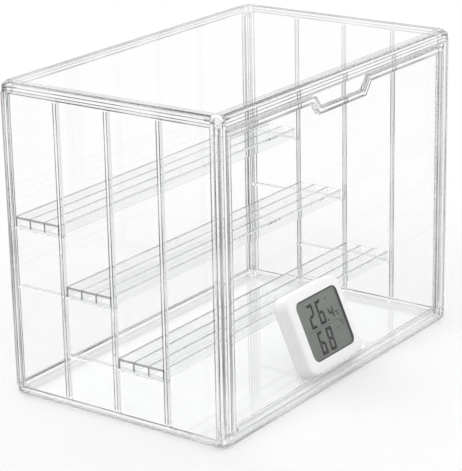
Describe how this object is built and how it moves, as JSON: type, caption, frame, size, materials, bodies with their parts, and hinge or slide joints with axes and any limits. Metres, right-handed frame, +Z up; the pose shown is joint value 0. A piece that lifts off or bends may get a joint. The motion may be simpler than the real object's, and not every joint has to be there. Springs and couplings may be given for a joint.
{
  "type": "tabletop mini greenhouse",
  "caption": "Clear plastic tabletop greenhouse case with a drop-front door, stepped lift-out shelves and a small leaning temperature and humidity gauge.",
  "frame": {"origin": "under the middle of the case, on the surface it stands on", "axes": "+X to the right across the door, +Y from the door to the back, +Z up"},
  "size_m": [0.32, 0.2, 0.25],
  "materials": {
    "clear_plastic": "clear, polished",
    "white_plastic": "fine satin",
    "window_plastic": "clear, polished",
    "display_glass": "grey-green reflective display",
    "board": "solder mask",
    "black_plastic": "satin",
    "steel": "bright"
  },
  "bodies": {
    "case": {"base_panel": "clear_plastic", "back_panel": "clear_plastic", "left_side_panel": "clear_plastic", "right_side_panel": "clear_plastic", "top_panel": "clear_plastic", "corner_front_left_top": "clear_plastic", "corner_front_left_bottom": "clear_plastic", "corner_front_right_top": "clear_plastic", "corner_front_right_bottom": "clear_plastic", "corner_back_left_top": "clear_plastic", "corner_back_left_bottom": "clear_plastic", "corner_back_right_top": "clear_plastic", "corner_back_right_bottom": "clear_plastic"},
    "door": {"front_door": "clear_plastic", "door_hinge_pin_left": "clear_plastic", "door_hinge_pin_right": "clear_plastic"},
    "lower_step": {"lower_shelf": "clear_plastic"},
    "middle_step": {"middle_shelf": "clear_plastic"},
    "upper_step": {"upper_shelf": "clear_plastic"},
    "gauge": {"gauge_front_shell": "white_plastic", "gauge_back_shell": "white_plastic", "gauge_window": "window_plastic", "gauge_display_panel": "display_glass", "gauge_circuit_board": "board", "gauge_sensor": "black_plastic", "gauge_cell_holder": "black_plastic", "gauge_cell_contact": "steel", "gauge_coin_cell": "steel", "gauge_push_switch": "black_plastic", "gauge_screws": "steel", "gauge_stand_pin": "steel"},
    "stand": {"gauge_stand": "white_plastic"},
    "battery_cover": {"gauge_battery_cover": "white_plastic"},
    "mode_button": {"gauge_mode_button": "white_plastic"}
  },
  "joints": [
    {"name": "door_hinge", "type": "hinge", "parent": "case", "child": "door", "pos_m": [0, -0.0976, 0.011], "axis": [1, 0, 0], "range_deg": [0, 90]},
    {"name": "lower_shelf_lift", "type": "slide", "parent": "case", "child": "lower_step", "axis": [0, 0, 1], "range_m": [0, 0.185]},
    {"name": "middle_shelf_lift", "type": "slide", "parent": "case", "child": "middle_step", "axis": [0, 0, 1], "range_m": [0, 0.135]},
    {"name": "upper_shelf_lift", "type": "slide", "parent": "case", "child": "upper_step", "axis": [0, 0, 1], "range_m": [0, 0.09]},
    {"name": "gauge_lift", "type": "slide", "parent": "case", "child": "gauge", "axis": [0, 0, 1], "range_m": [0, 0.15]},
    {"name": "stand_fold", "type": "hinge", "parent": "gauge", "child": "stand", "pos_m": [0.0066, -0.05815, 0.04881], "axis": [1, 0, 0], "range_deg": [-24, 0]},
    {"name": "battery_cover_pull", "type": "slide", "parent": "gauge", "child": "battery_cover", "axis": [0, 0.9135, -0.4067], "range_m": [0, 0.008]},
    {"name": "mode_button_press", "type": "slide", "parent": "gauge", "child": "mode_button", "axis": [0, -0.9135, 0.4067], "range_m": [0, 0.0006], "stiffness_N_per_m": 300, "springref_m": -0.0003}
  ]
}
